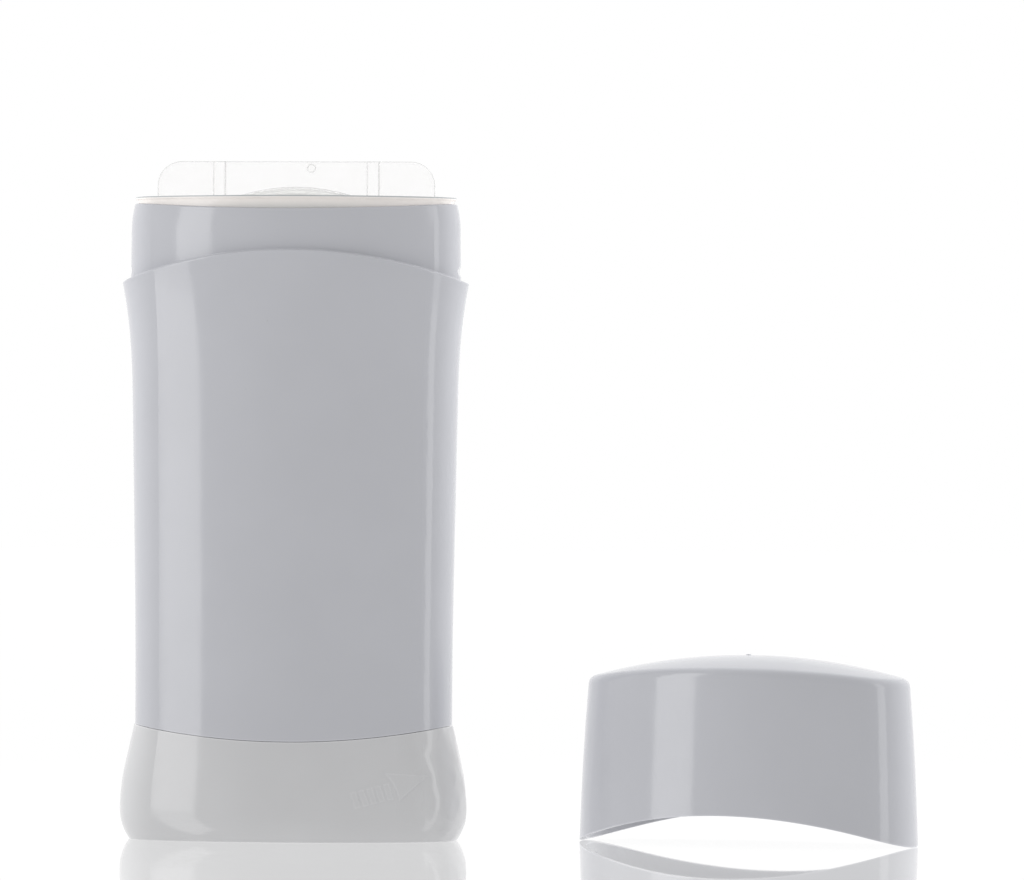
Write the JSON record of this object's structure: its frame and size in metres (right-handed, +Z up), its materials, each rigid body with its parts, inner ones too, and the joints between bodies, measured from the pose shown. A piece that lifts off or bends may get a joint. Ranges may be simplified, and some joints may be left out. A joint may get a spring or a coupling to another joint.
{
  "type": "deodorant stick container",
  "caption": "Empty oval twist-up stick container with a snapped-in base, turning dial, screw, platform and clear pull-tab seal, and its domed cap standing beside it.",
  "frame": {"origin": "middle of the base's foot, on the surface that the container stands on", "axes": "+Z up along the screw, +X across the container's width towards the cap that stands beside it, -Y the front with the turning arrow"},
  "size_m": [0.1423, 0.0371, 0.1208],
  "materials": {
    "shell": "glossy moulded polypropylene, cool pale grey",
    "base": "glossy moulded polypropylene, neutral pale grey",
    "works": "satin white moulded plastic",
    "clear": "thin clear moulded plastic"
  },
  "bodies": {
    "container": {"barrel": "shell", "base": "base"},
    "screw": {"dial": "works", "spindle": "works"},
    "platform": {"platform": "works"},
    "seal": {"seal": "clear"},
    "cap": {"cap": "shell"}
  },
  "joints": [
    {"name": "dial_turn", "type": "hinge", "parent": "container", "child": "screw", "pos_m": [0, 0, 0], "axis": [0, 0, 1], "range_deg": [0, 4320]},
    {"name": "platform_rise", "type": "slide", "parent": "container", "child": "platform", "axis": [0, 0, 1], "range_m": [0, 0.072]},
    {"name": "seal_pull", "type": "slide", "parent": "container", "child": "seal", "axis": [0, 0, 1], "range_m": [0, 0.03]},
    {"name": "cap_lift", "type": "slide", "parent": "container", "child": "cap", "axis": [0, 0, 1], "range_m": [0, 0.12]}
  ],
  "couplings": [
    {"joint": "dial_turn", "follows": "platform_rise", "rad_per_m": 1047.2}
  ]
}
